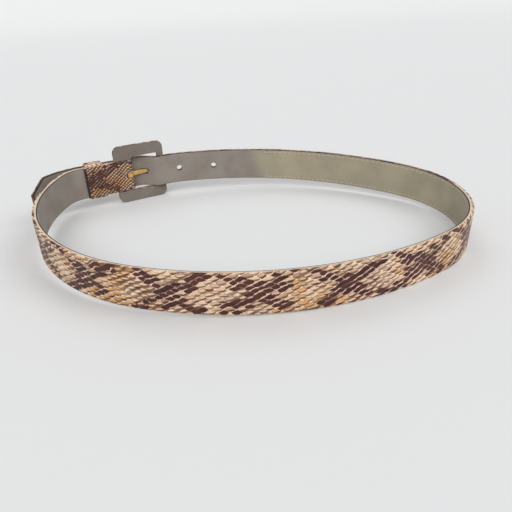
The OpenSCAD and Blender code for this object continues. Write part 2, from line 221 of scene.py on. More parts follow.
# The hole in use is where the prong's centre line crosses the middle of the strap
climb_p = strap.poses[CLIMB]
climb_mid = np.array(climb_p[:2]) + STRAP_T / 2 * ahead(climb_p[2] - 90)
prong_mid = (PRONG_LOW + PRONG_T / 2) * ahead(90 + PRONG_TILT)
prong_way = cross2(prong_mid - climb_mid, ahead(PRONG_TILT)) / cross2(ahead(climb_p[2]), ahead(PRONG_TILT))
USED_S = strap.starts[CLIMB] + prong_way
SKEW = 90 - SLOPE - PRONG_TILT
PLAY_LEN = np.linalg.norm(climb_mid + prong_way * ahead(climb_p[2])) * sind(PRONG_PLAY) / cosd(SKEW)
POCKET_END = USED_S - TIP_PANEL

# Front arc and the zip's angles on it
front_p = strap.poses[FRONT]
FRONT_C = np.array(front_p[:2]) + FRONT_R * ahead(front_p[2] + 90)
FRONT_MID = FRONT_H + FRONT_TURN / 2 - 90


def arc_deg(length):
    return math.degrees(length / FRONT_R)


ZIP_A = FRONT_MID + arc_deg(ZIP_LEN) / 2
SLIDER_A = ZIP_A - arc_deg(SLIDER_LEN / 2 + RUN_GAP)
TEETH_N = LINING_T - TEETH_T
TAPE_N = LINING_T + GLUE
BAG_N = TAPE_N + TAPE_T
PLATE_N = TEETH_N - RUN_GAP
ROWS_Z = TEETH_GAP / 2 + TEETH_H
PLATE_Z = ROWS_Z + RUN_GAP + PLATE_T
PIN_R = PULL_PIN_D / 2
PIN_N = PLATE_N - PLATE_T - RUN_GAP - PULL_T / 2 - PIN_R
LUG_WALL = 0.6
LUG_Z = PIN_R + LUG_WALL

# How the belt stands
WINDOW_LOW = -RUN_GAP
WINDOW_TOP = STRAP_W + WINDOW_GAP
HEEL_TOP = STRAP_W + RUN_GAP
HEEL_X = BAR_R + 2 * RUN_GAP
FRAME_LOW = WINDOW_LOW - BAR_W
FRAME_TOP = WINDOW_TOP + BAR_W
KEEPER_X = -TURNBACK_LEN + KEEPER_BACK
KEEPER_OUT = FREE_Y + STRAP_T + RUN_GAP
FRONT_Y = FRONT_C[1] - FRONT_R - STRAP_T
LEAN = math.degrees(math.atan(-FRAME_LOW / (-FRAME_HALF - FRONT_Y)))
LEFT_X = strap.poses[LEFT][0] - LEFT_R * sind(LEFT_H) - LEFT_R - STRAP_T
RIGHT_X = strap.poses[END][0] - END_R * sind(END_H) + END_R + STRAP_T
NEAR_Y = FRONT_Y * cosd(LEAN) - STRAP_W * sind(LEAN)
FAR_Y = (KEEPER_OUT + KEEPER_T) * cosd(LEAN)
LIFT = -FRONT_Y * sind(LEAN)
CENTRE = ((LEFT_X + RIGHT_X) / 2, (NEAR_Y + FAR_Y) / 2)
ROW = Matrix.Scale(MM, 4) @ Matrix.Translation((-CENTRE[0], -CENTRE[1], LIFT)) @ spin(LEAN, "X")
ROW_NP = np.array(ROW)


def laid(points):
    """Points of the part's source, in millimetres, as points of the row frame."""
    p = np.asarray(points, float).reshape(-1, 3)
    return p @ ROW_NP[:3, :3].T + ROW_NP[:3, 3]


def beside(pose, n, z):
    x, y, h = pose
    return (x + n * sind(h), y - n * cosd(h), z)


# Materials
PRINT = "Print"
WEAR = "wear"


class Value:
    """An output of a material's node, for plain arithmetic."""

    def __init__(self, graph, socket):
        self.graph, self.socket = graph, socket

    def __add__(self, other):
        return self.graph.math("ADD", self, other)

    def __sub__(self, other):
        return self.graph.math("SUBTRACT", self, other)

    def __rsub__(self, other):
        return self.graph.math("SUBTRACT", other, self)

    def __mul__(self, other):
        return self.graph.math("MULTIPLY", self, other)

    def __truediv__(self, other):
        return self.graph.math("DIVIDE", self, other)

    def __abs__(self):
        return self.graph.math("ABSOLUTE", self)

    __radd__ = __add__
    __rmul__ = __mul__


class Graph:
    """A material's nodes, with one short call for each kind of node used here."""

    def __init__(self, name):
        self.material = bpy.data.materials.new(name)
        self.material.use_nodes = True
        self.tree = self.material.node_tree
        self.shader = self.tree.nodes["Principled BSDF"]

    def fill(self, n, **values):
        """Fill sockets by name, with _ for a space, and give the node's first output."""
        for key, value in values.items():
            self.plug(value, n.inputs[key.replace("_", " ")])
        return self.out(n)

    def set(self, **values):
        self.fill(self.shader, **values)

    def plug(self, value, socket):
        if isinstance(value, Value):
            self.tree.links.new(value.socket, socket)
        elif isinstance(value, tuple):
            socket.default_value = (*value, 1.0)
        else:
            socket.default_value = value

    def node(self, kind, **settings):
        n = self.tree.nodes.new(kind)
        for key, value in settings.items():
            setattr(n, key, value)
        return n

    def out(self, n, key=0):
        return Value(self, n.outputs[key])

    def math(self, operation, a, b=0.0):
        n = self.node("ShaderNodeMath", operation=operation)
        for value, socket in zip((a, b), n.inputs):
            self.plug(value, socket)
        return self.out(n)

    def ramp(self, value, lo, hi):
        """0 at lo and 1 at hi, with a smooth rise between; lo may be the larger one."""
        n = self.node("ShaderNodeMapRange", interpolation_type="SMOOTHSTEP")
        return self.fill(n, Value=value, From_Min=lo, From_Max=hi)

    def mix(self, fac, a, b):
        n = self.node("ShaderNodeMix", data_type="RGBA")
        self.plug(fac, n.inputs["Factor"])
        self.plug(a, n.inputs[6])
        self.plug(b, n.inputs[7])
        return self.out(n, 2)

    def vector(self, x, y, z=0.0):
        return self.fill(self.node("ShaderNodeCombineXYZ"), X=x, Y=y, Z=z)

    def noise(self, vector, scale, detail=2.0, roughness=0.5):
        n = self.node("ShaderNodeTexNoise")
        return self.fill(n, Vector=vector, Scale=scale, Detail=detail, Roughness=roughness)

    def sway(self, vector, scale, detail, size):
        """Noise about zero."""
        return (self.noise(vector, scale, detail) - 0.5) * size

    def random(self, vector):
        n = self.node("ShaderNodeTexWhiteNoise", noise_dimensions="3D")
        return self.fill(n, Vector=vector)

    def print_uv(self):
        uv = self.out(self.node("ShaderNodeUVMap", uv_map=PRINT))
        n = self.node("ShaderNodeSeparateXYZ")
        self.plug(uv, n.inputs[0])
        return uv, self.out(n), self.out(n, 1)

    def place(self):
        return self.out(self.node("ShaderNodeTexCoord"), "Object")

    def bump(self, height, distance, strength):
        n = self.node("ShaderNodeBump")
        self.set(Normal=self.fill(n, Height=height, Distance=distance, Strength=strength))


def srgb(*channels):
    """A colour written as 0 to 255 per channel, as linear values."""
    parts = [c / 255 for c in channels]
    return tuple(c / 12.92 if c <= 0.04045 else ((c + 0.055) / 1.055) ** 2.4 for c in parts)


# Snakeskin print, with painted highlights and shade on its scales: colours, then its scales and net in
# millimetres, then how the fold differs
CREAM = srgb(238, 208, 176)
TAN = srgb(218, 180, 146)
PINK = srgb(206, 166, 148)
OCHRE = srgb(208, 153, 86)
# Painted highlight for the middles of pale scales and the lines between them
HIGHLIGHT = srgb(246, 220, 192)
# Dark brown for the scales' outlines and for painted shadow
OUTLINE_AND_SHADOW = srgb(80, 50, 36)
# Mid-brown for the print's half-dark scales and for painted shade on the fold-back
BROWN_AND_SHADE = srgb(150, 108, 78)
CHOCOLATE = srgb(60, 28, 22)
UMBER = srgb(84, 43, 33)
PALE_LINE = srgb(240, 206, 184)
WORN = srgb(228, 204, 178)
# Dark ink, which also paints shade on the buckle window's end wall
INK_AND_SHADE = srgb(40, 34, 31)
SCALE_RUN = 6.3
SCALE_RISE = 3.4
UNEVEN = 0.9
CRINKLE = 0.4
NET_PITCH = 43.75
NET_START = 13.0
NET_REACH = 19.0
NET_HALF = 3.0
NET_FULL = 1.4
NET_DRIFT = 9.0
RAGGED_SCALE = 5.0
RAGGED_PATCH = 6.0
HALF_DARK = 2.0
OCHRE_LOW = 0.008
PINK_FROM = 0.72
FOLD_FINER_RUN = 2.0
FOLD_FINER_RISE = 1.4
FOLD_DARKER = 0.2
FOLD_OCHRE = 0.02
FOLD_SHADE_DIM = 0.05
FOLD_SHADE = 0.25
FOLD_RING = 0.95


def snake_leather():
    """Oval scales in lozenge rows, dark along a net of diamonds and ochre in patches between.

    The third coordinate of a noise or chance only keeps it apart from the others.
    """
    g = Graph("snake_leather")
    uv, u, v = g.print_uv()
    # Places along the two slanting rows, counted in scales and a little uneven
    fold = g.math("LESS_THAN", u, 0.0)
    fine_run = fold * (FOLD_FINER_RUN - 1) + 1.0
    fine_rise = fold * (FOLD_FINER_RISE - 1) + 1.0
    x = u * fine_run * (1 / SCALE_RUN)
    y = v * fine_rise * (1 / SCALE_RISE)
    other = g.vector(u, v, 9.0)
    a = y + x + g.sway(uv, 0.16, 1.0, UNEVEN) + g.sway(uv, 0.5, 2.0, CRINKLE)
    b = y - x + g.sway(other, 0.16, 1.0, UNEVEN) + g.sway(other, 0.5, 2.0, CRINKLE)
    col = g.math("FLOOR", a)
    row = g.math("FLOOR", b)
    along = a - col - 0.5
    across = b - row - 0.5
    chance = g.random(g.vector(col, row, 1.0))
    chance2 = g.random(g.vector(col, row, 7.0))
    # Middle of the scale on the print
    uc = (col - row) * (SCALE_RUN / 2) / fine_run
    vc = (col + row + 1.0) * (SCALE_RISE / 2) / fine_rise
    spot = g.vector(uc, vc)
    # Dark net: its lines cross in the middle of the strap and spread to the edges
    drift = g.sway(spot, 0.035, 1.0, NET_DRIFT)
    turn = (uc + drift - NET_START) / NET_PITCH
    away = abs(g.math("FRACT", turn + 0.5) - 0.5) * NET_PITCH
    height = g.math("PINGPONG", vc - MID_Z, MID_Z + 1.5)
    slope = MID_Z / NET_REACH
    line = abs(away * slope - height) * (1 / math.hypot(1, slope))
    ragged = (chance - 0.5) * RAGGED_SCALE + g.sway(spot, 0.12, 2.0, RAGGED_PATCH)
    half = (NET_FULL - away * (1 / NET_REACH)) * NET_HALF
    past = line + ragged - (half + fold * FOLD_DARKER)
    dark = g.math("LESS_THAN", past, 0.0)
    # Pale scales, ochre in patches and more so low on the strap, each with a brown crescent on its lower
    # side: painted shadow
    patch = g.noise(g.vector(uc, vc, 3.0), 0.06, 1.0) + (MID_Z - vc) * OCHRE_LOW
    ochre = g.ramp(patch + fold * FOLD_OCHRE, 0.53, 0.65)
    pale = g.mix(chance, CREAM, TAN)
    pale = g.mix(g.math("GREATER_THAN", chance2, PINK_FROM) * 0.7, pale, PINK)
    pale = g.mix(ochre * 0.85, pale, OCHRE)
    side = abs(across * 2.0)
    end = abs(along * 2.0)
    rim = g.math("POWER", side * 1.15, 2.2) + g.math("POWER", end, 4.0)
    # Pale scales turn mid-brown towards the dark net, which is print; on the fold-back they are darkened too,
    # which is painted shade
    browned_and_shaded = g.math("MAXIMUM", g.ramp(past, HALF_DARK, 0.0) * 0.6, fold * FOLD_SHADE)
    pale = g.mix(browned_and_shaded, pale, BROWN_AND_SHADE)
    # Painted shadow: the lower side of each pale scale is darkened
    shadow_side = g.ramp(along * 0.35 + across, 0.08, -0.22)
    # Painted highlights: lit lines between the scales in some patches, and a lit middle on each scale in the
    # others
    highlight_lines = g.ramp(g.noise(g.vector(u, v, 5.0), 0.09, 1.0), 0.42, 0.58)
    open_gap = (1.0 - highlight_lines) * 0.7
    pale = g.mix(g.ramp(rim, 0.5, 0.0) * (open_gap * 0.6), pale, HIGHLIGHT)
    ring = g.ramp(rim, 0.4, 0.8) * g.math("MAXIMUM", chance2 * 0.7, open_gap)
    ring = g.math("MAXIMUM", ring, g.ramp(rim, 0.2, 0.65) * (fold * FOLD_RING))
    painted_shadow = shadow_side * (0.6 + chance * 0.4)
    pale = g.mix(g.math("MAXIMUM", ring, painted_shadow), pale, OUTLINE_AND_SHADOW)
    flat = 1.0 - fold
    pale = g.mix(g.ramp(rim, 1.0, 1.3) * (highlight_lines * (flat * 0.85)), pale, HIGHLIGHT)
    # Dark ovals with broken pale lines between the rows, and some between the scales of a row
    deep = g.mix(chance2, CHOCOLATE, UMBER)
    broken = g.ramp(g.noise(g.vector(u, v, 11.0), 0.2, 1.0), 0.40, 0.58)
    rows = g.ramp(side - end, -0.35, 0.15) * (0.1 + broken * 0.8)
    ends = g.ramp(end - side, -0.1, 0.3) * (g.math("GREATER_THAN", chance, 0.5) * 0.7)
    between = g.math("MAXIMUM", rows, ends) * (1.0 - fold * 0.5)
    deep = g.mix(g.ramp(rim, 0.75, 1.15) * between, deep, PALE_LINE)
    # The fold-back is dimmed a little more towards the dark brown: painted shade
    colour = g.mix(fold * FOLD_SHADE_DIM, g.mix(dark, pale, deep), OUTLINE_AND_SHADOW)
    # Pale wear and dark ink from the wear attribute; the dark on the buckle window's end wall is painted
    # shade
    wear = g.out(g.node("ShaderNodeAttribute", attribute_name=WEAR), "Fac")
    colour = g.mix(wear * 0.85, colour, WORN)
    colour = g.mix(wear * -0.95, colour, INK_AND_SHADE)
    rough = 0.42 + g.ramp(rim, 0.5, 1.0) * 0.16
    g.set(Base_Color=colour, Roughness=rough, Specular_IOR_Level=0.3)
    grain = g.noise(uv, 3.2, 3.0) * 0.12
    g.bump(grain - g.ramp(rim, 0.4, 1.0), 0.0002, 0.8)
    return g.material


GREY_TONES = [srgb(133, 124, 115), srgb(146, 138, 129), srgb(112, 104, 96)]
BACK_TONES = [srgb(116, 107, 99), srgb(127, 119, 111), srgb(96, 88, 81)]
OLIVE_TONES = [srgb(153, 145, 124), srgb(167, 158, 135), srgb(132, 124, 105)]
SEAM_SLANT = 0.44
SEAM_SOFT = 5.0
FACE_MID_V = 1.5 * STRAP_W


def suede(name, tones, tip_tones=None):
    """Brushed split leather with clouds, fibres and rubbed streaks; towards the tip it may change tone."""
    g = Graph(name)
    uv, u, v = g.print_uv()
    main, light, dark = tones
    if tip_tones:
        along = u + (v - FACE_MID_V) * SEAM_SLANT
        past = g.ramp(along, POCKET_END - SEAM_SOFT, POCKET_END + SEAM_SOFT)
        main, light, dark = [g.mix(past, a, b) for a, b in zip(tones, tip_tones)]
    cloud = g.noise(uv, 0.06, 3.0)
    fibre = g.noise(g.vector(u * 0.8, v * 1.6), 1.7, 4.0, 0.65)
    streak = g.noise(g.vector(u * 0.09, v * 0.7), 1.0, 2.0)
    colour = g.mix(g.ramp(cloud, 0.3, 0.7), main, light)
    colour = g.mix(g.ramp(fibre, 0.42, 0.72) * 0.5, colour, dark)
    colour = g.mix(g.ramp(streak, 0.5, 0.75) * 0.25, colour, light)
    g.set(Base_Color=colour, Roughness=0.92, Specular_IOR_Level=0.2, Sheen_Weight=0.12, Sheen_Roughness=0.6)
    g.bump(fibre, 0.00012, 0.6)
    return g.material


def grained(name, main, dark, scale, rough):
    """A plain material with a fine, cloudy grain by place."""
    g = Graph(name)
    n = g.noise(g.place(), scale, 4.0, 0.6)
    g.set(Base_Color=g.mix(g.ramp(n, 0.3, 0.7), main, dark), Roughness=n * 0.2 + (rough - 0.1))
    g.bump(n, 0.0001, 0.5)
    return g.material


def woven(name, main, dark, per_mm):
    """Plain weave on the print map."""
    g = Graph(name)
    uv, u, v = g.print_uv()
    turn = 2 * math.pi * per_mm
    warp = g.math("SINE", u * turn)
    weft = g.math("SINE", v * turn)
    cloth = warp * weft * 0.5 + 0.5
    tone = g.mix(cloth, dark, main)
    tone = g.mix(g.noise(uv, 0.4, 2.0) * 0.4, tone, dark)
    g.set(Base_Color=tone, Roughness=0.88)
    g.bump(cloth, 0.0001, 0.6)
    return g.material


def brass(name, main, dark, rough):
    """Satin yellow metal with fine scratches and dull patches."""
    g = Graph(name)
    p = g.place()
    dull = g.noise(p, 260.0, 3.0)
    scratch = g.noise(p, 2200.0, 2.0)
    shine = dull * 0.18 + (scratch * 0.06 + (rough - 0.1))
    g.set(Base_Color=g.mix(g.ramp(dull, 0.35, 0.75), main, dark), Metallic=0.65, Roughness=shine)
    g.bump(scratch, 0.00002, 0.4)
    return g.material


SNAKE = snake_leather()
GREY = suede("grey_lining", GREY_TONES)
BACK_GREY = suede("buckle_grey", BACK_TONES)
OLIVE = suede("olive_lining", OLIVE_TONES, GREY_TONES)
TIP_GREY = suede("tip_lining", OLIVE_TONES, GREY_TONES)
DARK_EDGE = grained("dark_edge", srgb(52, 44, 40), srgb(36, 30, 28), 900.0, 0.7)
BOARD = grained("filler_board", srgb(74, 52, 40), srgb(50, 35, 28), 1500.0, 0.85)
THREAD = grained("stitch_thread", srgb(206, 196, 168), srgb(180, 168, 138), 4000.0, 0.8)
CLOTH = woven("pocket_cloth", srgb(72, 68, 60), srgb(44, 42, 38), 1.6)
TAPE = woven("zip_tape", srgb(112, 106, 88), srgb(74, 70, 58), 1.2)
ZIP_METAL = brass("zip_brass", srgb(206, 170, 104), srgb(158, 124, 70), 0.34)
PRONG_METAL = brass("prong_brass", srgb(226, 184, 112), srgb(194, 150, 84), 0.3)
STEEL = brass("frame_steel", srgb(170, 168, 164), srgb(120, 118, 114), 0.4)


# Pieces

def divide(lo, hi, count):
    return [lo + (hi - lo) * k / count for k in range(count + 1)]


def spread(lo, hi, step):
    return divide(lo, hi, max(1, math.ceil((hi - lo) / step - 1e-9)))


def breaks(lo, hi, marks, step):
    """Values from lo to hi that hold the ends of every (from, to, step) mark, with its step where finer."""
    cuts = sorted({lo, hi, *[m for a, b, _ in marks for m in (a, b) if lo < m < hi]})
    out = [lo]
    for a, b in zip(cuts, cuts[1:]):
        fine = min([f for m0, m1, f in marks if a >= m0 - 1e-6 and b <= m1 + 1e-6] + [step])
        out += spread(a, b, fine)[1:]
    return out


SHARP_DEG = 40


def placed(name, data):
    """A new object in the scene."""
    obj = bpy.data.objects.new(name, data)
    bpy.context.scene.collection.objects.link(obj)
    return obj


class Mesh:
    """Vertices, faces and print coordinates, gathered before they become a piece."""

    def __init__(self):
        self.verts, self.faces, self.uvs, self.which, self.wear = [], [], [], [], []

    def vert(self, p, wear=0.0):
        self.verts.append(p)
        self.wear.append(wear)
        return len(self.verts) - 1

    def face(self, ids, uvs, which=0):
        self.faces.append(list(ids))
        self.uvs.append(list(uvs))
        self.which.append(which)

    def loft(self, loops, uv_loops, which=0):
        """Quads between neighbouring closed loops of vertex numbers."""
        for (a, b), (ua, ub) in zip(zip(loops, loops[1:]), zip(uv_loops, uv_loops[1:])):
            count = len(a)
            for k in range(count):
                j = (k + 1) % count
                self.face((a[k], a[j], b[j], b[k]), (ua[k], ua[j], ub[j], ub[k]), which)

    def tube(self, loops, uv_loops):
        """A loft with its first and last loop filled."""
        self.loft(loops, uv_loops)
        for k in (0, -1):
            self.face(loops[k], uv_loops[k])

    def ring(self, loops, uv_loops):
        """A loft whose last loop joins its first."""
        self.loft(loops + loops[:1], uv_loops + uv_loops[:1])

    def piece(self, name, mats, body, in_cad=True):
        """The gathered mesh as an object in the row frame; one in the CAD takes the place of its node."""
        mesh = bpy.data.meshes.new(name)
        mesh.from_pydata([tuple(p) for p in laid(self.verts)], [], self.faces)
        layer = mesh.uv_layers.new(name=PRINT)
        layer.data.foreach_set("uv", [c for f in self.uvs for p in f for c in p])
        for m in mats:
            mesh.materials.append(m)
        mesh.polygons.foreach_set("material_index", self.which)
        mesh.attributes.new(WEAR, "FLOAT", "POINT").data.foreach_set("value", self.wear)
        mesh.shade_smooth()
        bm = bmesh.new()
        bm.from_mesh(mesh)
        bmesh.ops.recalc_face_normals(bm, faces=bm.faces)
        bm.to_mesh(mesh)
        bm.free()
        mesh.set_sharp_from_angle(angle=math.radians(SHARP_DEG))
        obj = placed(name, mesh)
        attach(obj, body)
        if in_cad:
            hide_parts(name)


def nearest_on_slot(t, z, hole, grow=0.0):
    """Point of a round-ended slot's rim that is nearest to a place on the strap's face."""
    centre, half_len, r = hole
    m = min(max(t, centre - half_len), centre + half_len)
    dt, dz = t - m, z - MID_Z
    d = math.hypot(dt, dz)
    return m + dt / d * (r + grow), MID_Z + dz / d * (r + grow)


def half_height(s, inset):
    """Half of the strap's height at a distance along it, drawn in by an inset at the tapered tip."""
    slant = (MID_Z - NOSE_H / 2) / TIP_LEN
    taper = NOSE_H / 2 + (STRAP_LEN - s) * slant - inset * math.sqrt(1 + slant * slant)
    return min(MID_Z - inset, taper)


def nearest(values, x):
    return min(range(len(values)), key=lambda i: abs(values[i] - x))


HOLE_MARGIN = 1.2
HOLE_STEP = 0.8
ROWS_PAST = 0.4


def band(m, t0, t1, pose, faces_n, edge, half, holes, marks, step, rows, window, wall=1, edge_mat=0,
         rim_wear=0.0, cut=0.18, ink=lambda t: 0.0):
    """A closed band along the strap with through holes.

    pose(t) is the line it follows, faces_n(t) the outer and inner face offsets, edge(t) the points of a
    turned edge from the outer face to the inner one as (n, distance from the edge, wear), half(t) half of its
    height, rows the places of the face's rows, and ink(t) the wear of the faces, dark where below 0.
    """
    spans = [(c - half_len - r - HOLE_MARGIN, c + half_len + r + HOLE_MARGIN) for c, half_len, r in holes]
    marks = list(marks) + [(a, b, HOLE_STEP) for a, b in spans]
    stations = breaks(t0, t1, marks, step)
    cols = len(rows)
    reach, core_reach = rows[-1], window + ROWS_PAST
    loops, starts, ends = [], [], []
    for t in stations:
        p = pose(t)
        n_out, n_in = faces_n(t)
        turned = edge(t)
        knots = turned[1:-1]
        over = [math.hypot(b[0] - a[0], b[1] - a[1]) for a, b in zip(turned, turned[1:])]
        h = half(t)

        def face_z(r, off):
            """Rows keep their place round the holes and spread evenly up to the edge."""
            room = h - off
            core = min(core_reach, room * 0.5)
            if abs(r) <= core_reach:
                return r / core_reach * core
            return math.copysign(core + (abs(r) - core_reach) / (reach - core_reach) * (room - core), r)
        v = [MID_Z + face_z(r, turned[0][1]) for r in rows]
        ring = [m.vert(beside(p, n_out, z), ink(t)) for z in v]
        for (n, off, wear), way in zip(knots, over):
            ring.append(m.vert(beside(p, n, MID_Z + h - off), wear))
            v.append(v[-1] + way)
        top = v[-1] + over[-1] + h - turned[-1][1]
        for r in reversed(rows):
            z = face_z(r, turned[-1][1])
            ring.append(m.vert(beside(p, n_in, MID_Z + z)))
            v.append(top - z)
        seam = len(ring) - 1
        low = v[0] - sum(over)
        for (n, off, wear), way in zip(reversed(knots), reversed(over)):
            ring.append(m.vert(beside(p, n, MID_Z - h + off), wear))
            low += way
            v.append(low)
        after = v[1:] + v[:1]
        after[seam] = v[seam] + over[-1]
        loops.append(ring)
        starts.append(v)
        ends.append(after)
    count = len(loops[0])
    knots = len(edge(t0)) - 2
    gaps = [(nearest(stations, a), nearest(stations, b), nearest(rows, -window), nearest(rows, window))
            for a, b in spans]

    def in_gap(i, p):
        if p < cols - 1:
            c = p
        elif cols + knots <= p < 2 * cols + knots - 1:
            c = 2 * cols + knots - 2 - p
        else:
            return False
        return any(i0 <= i < i1 and c0 <= c < c1 for i0, i1, c0, c1 in gaps)
    for i in range(len(stations) - 1):
        s0, s1 = stations[i], stations[i + 1]
        for p in range(count):
            if in_gap(i, p):
                continue
            q = (p + 1) % count
            on_edge = cols - 1 <= p < cols + knots or p >= 2 * cols + knots - 1
            m.face((loops[i][p], loops[i + 1][p], loops[i + 1][q], loops[i][q]),
                   ((s0, starts[i][p]), (s1, starts[i + 1][p]), (s1, ends[i + 1][p]), (s0, ends[i][p])),
                   edge_mat if on_edge else 0)
    for k in (0, -1):
        m.face(loops[k], [(stations[k], x) for x in starts[k]], edge_mat)
    # Holes: the face is drawn in to the rim, and a wall joins the two rims
    for (i0, i1, c0, c1), hole in zip(gaps, holes):
        way = [(i, c0) for i in range(i0, i1 + 1)] + [(i1, c) for c in range(c0 + 1, c1 + 1)]
        way += [(i, c1) for i in range(i1 - 1, i0 - 1, -1)] + [(i0, c) for c in range(c1 - 1, c0, -1)]
        rims = []
        for outer in (True, False):
            outside = [loops[i][c if outer else 2 * cols + knots - 1 - c] for i, c in way]
            places = [(stations[i], MID_Z + rows[c]) for i, c in way]
            near = [nearest_on_slot(t, z, hole, cut) for t, z in places]
            n = [faces_n(t)[0 if outer else 1] for t, _ in near]
            rim = [m.vert(beside(pose(t), k, z), rim_wear) for (t, z), k in zip(near, n)]
            m.loft([outside, rim], [places, near])
            deep = [nearest_on_slot(t, z, hole) for t, z in places]
            sink = -cut if outer else cut
            inner = [m.vert(beside(pose(t), k + sink, z)) for (t, z), k in zip(deep, n)]
            m.loft([rim, inner], [near, deep], wall)
            rims.append((inner, deep))
        m.loft(*zip(*rims), wall)


def rows_for(reach, window, step=1.5):
    """Rows across a face, with lines on both sides of the hole window."""
    return breaks(-reach, reach, [(-window, window, HOLE_STEP)], step)


def quarter_round(r, steps=4):
    """(rise, drop) along a quarter round: it leaves a face and ends on the edge."""
    return [(r * cosd(a), r - r * sind(a)) for a in divide(0, 90, steps)]


def rounded(n_out, n_in, r_out, r_in, between=(), wear=0.0, steps=4):
    """Turned edge between two faces, as (n, distance from the edge, wear), with its inner round worn."""
    pts = [(n_out - r_out + rise, drop, 0.0) for rise, drop in quarter_round(r_out, steps)]
    pts += [(n, 0.0, w) for n, w in between]
    return pts + [(n_in + r_in - rise, drop, wear) for rise, drop in reversed(quarter_round(r_in, steps))]


FREE_HOLES = [(USED_S + k * HOLE_PITCH, 0.0, HOLE_D / 2)
              for k in range(-HOLES_EACH_SIDE, HOLES_EACH_SIDE + 1) if k]
# Extra length of the hole in use, on the side away from the tip
HOLE_ROOM = 2.2


def worn_hole(n_in, n_out):
    """The hole in use through one layer: as long as the slanting prong and its play need there."""
    slant = math.tan(math.radians(SKEW))
    half = PRONG_T / 2 / cosd(SKEW) + RUN_GAP
    lo = (STRAP_T / 2 - n_out) * slant - half - HOLE_ROOM
    hi = (STRAP_T / 2 - n_in) * slant + half + PLAY_LEN
    return (USED_S + (lo + hi) / 2, max(0.0, (hi - lo - HOLE_D) / 2), HOLE_D / 2)


HOLE_WINDOW = HOLE_D / 2 + HOLE_MARGIN
CORNERS = [(DOUBLED_LEN, strap.starts[LEFT], 1.0), (strap.starts[BEND_IN], strap.starts[OVER], 0.8)]

# Printed cover: turned over the edges, folded round the heel bar and turned back
PAST_FOLD = 1.7
COVER_S = 2 * FOLD_R + PAST_FOLD
CUT_ROUND = 0.4
TURN_ROUND = 0.9
INK_TO = 1.6 - turnback.length
NARROW = 1.1
NARROW_LEN = 20.0
PALE_SHARE = 0.62
FREE_S = strap.starts[FREE]
BACK_S = strap.starts[END] + PALE_SHARE * seg_len(WALK[END])


def cover_pose(t):
    if t < 0:
        return turnback.at(turnback.length + t)
    p = strap.at(t)
    return (*beside(p, CORE_N, 0)[:2], p[2])


def cover_half(t):
    """Half of the cover's height: the folded end narrows a little towards the heel bar."""
    near = max(0.0, 1 - abs(t) / NARROW_LEN)
    return half_height(t, NARROW * near * near * (3 - 2 * near))


def cover_edge(t):
    """Cut near the fold, with the print on its outer half, and turned over the board past it."""
    if t < COVER_S:
        edge = rounded(COVER_T, 0.0, CUT_ROUND, CUT_ROUND, [(0.47, 0.3), (0.43, 1.0)], 1.0)
        return edge + [(0.0, 0.6, 0.5), (0.0, COVER_T, 0.0)]
    lip = LINING_T - CORE_N
    worn = 1.0 if t < BACK_S else -0.5 if t < FREE_S else -1.0
    edge = rounded(COVER_T, lip, TURN_ROUND, CUT_ROUND, [(-0.4, 0.0), (-0.6, worn)], worn)
    return edge + [(lip, COVER_T, worn), (0.0, COVER_T + 0.02, 0.0)]


# Slot for the prong in the fold; it ends sooner than in the part's source
SLOT_SHORT = 1.2
SLOT_R = PRONG_W / 2 + RUN_GAP
slot_from = SLOT_SHORT - (turnback.length - turnback.starts[1])
slot_mid = (slot_from + STEP_X) / 2
PRONG_SLOT = (slot_mid, STEP_X - slot_mid - SLOT_R, SLOT_R)
cover = Mesh()
band(cover, -turnback.length, STRAP_LEN, cover_pose, lambda t: (COVER_T, 0.0), cover_edge,
     cover_half, FREE_HOLES + [worn_hole(CORE_N, STRAP_T), PRONG_SLOT],
     CORNERS + [(slot_from, 0.0, 0.5), (COVER_S - 0.02, COVER_S, 0.1), (STRAP_LEN - TIP_LEN, STRAP_LEN, 1.0),
                (INK_TO - 0.05, INK_TO, 0.1)],
     2.0, rows_for(MID_Z - COVER_T, HOLE_WINDOW), HOLE_WINDOW, rim_wear=0.5,
     ink=lambda t: -1.0 if t < INK_TO else 0.0)
cover.piece("strap_cover", [SNAKE, BOARD], "belt")

# Filler board, seen only in the holes
CORE_S = COVER_S + COVER_T
APART = 0.02
BOARD_INSET = 0.05
BOARD_ROUND = 0.3
core_out, core_in = CORE_N - APART, LINING_T + APART
core = Mesh()
band(core, CORE_S + BOARD_INSET, STRAP_LEN - COVER_T - BOARD_INSET, strap.at, lambda t: (core_out, core_in),
     lambda t: rounded(core_out, core_in, BOARD_ROUND, BOARD_ROUND, steps=2),
     lambda t: half_height(t, COVER_T + BOARD_INSET), FREE_HOLES + [worn_hole(LINING_T, CORE_N)],
     CORNERS, 3.0, rows_for(MID_Z - COVER_T - BOARD_INSET - BOARD_ROUND, HOLE_WINDOW, 3.0), HOLE_WINDOW,
     wall=0, cut=APART)
core.piece("strap_core", [BOARD], "belt")

# Linings, with dark edges
LINING_EDGE = 0.2
LINING_ROUND = 0.25


def lining(name, s0, s1, mat, holes=(), window=HOLE_WINDOW):
    m = Mesh()
    band(m, s0, s1, strap.at, lambda t: (LINING_T, 0.0),
         lambda t: rounded(LINING_T, 0.0, 0.05, LINING_ROUND, steps=3), lambda t: half_height(t, LINING_EDGE),
         holes, CORNERS, 2.0, rows_for(MID_Z - LINING_EDGE - LINING_ROUND, window), window,
         edge_mat=1, cut=0.12)
    m.piece(name, [mat, DARK_EDGE], "belt")


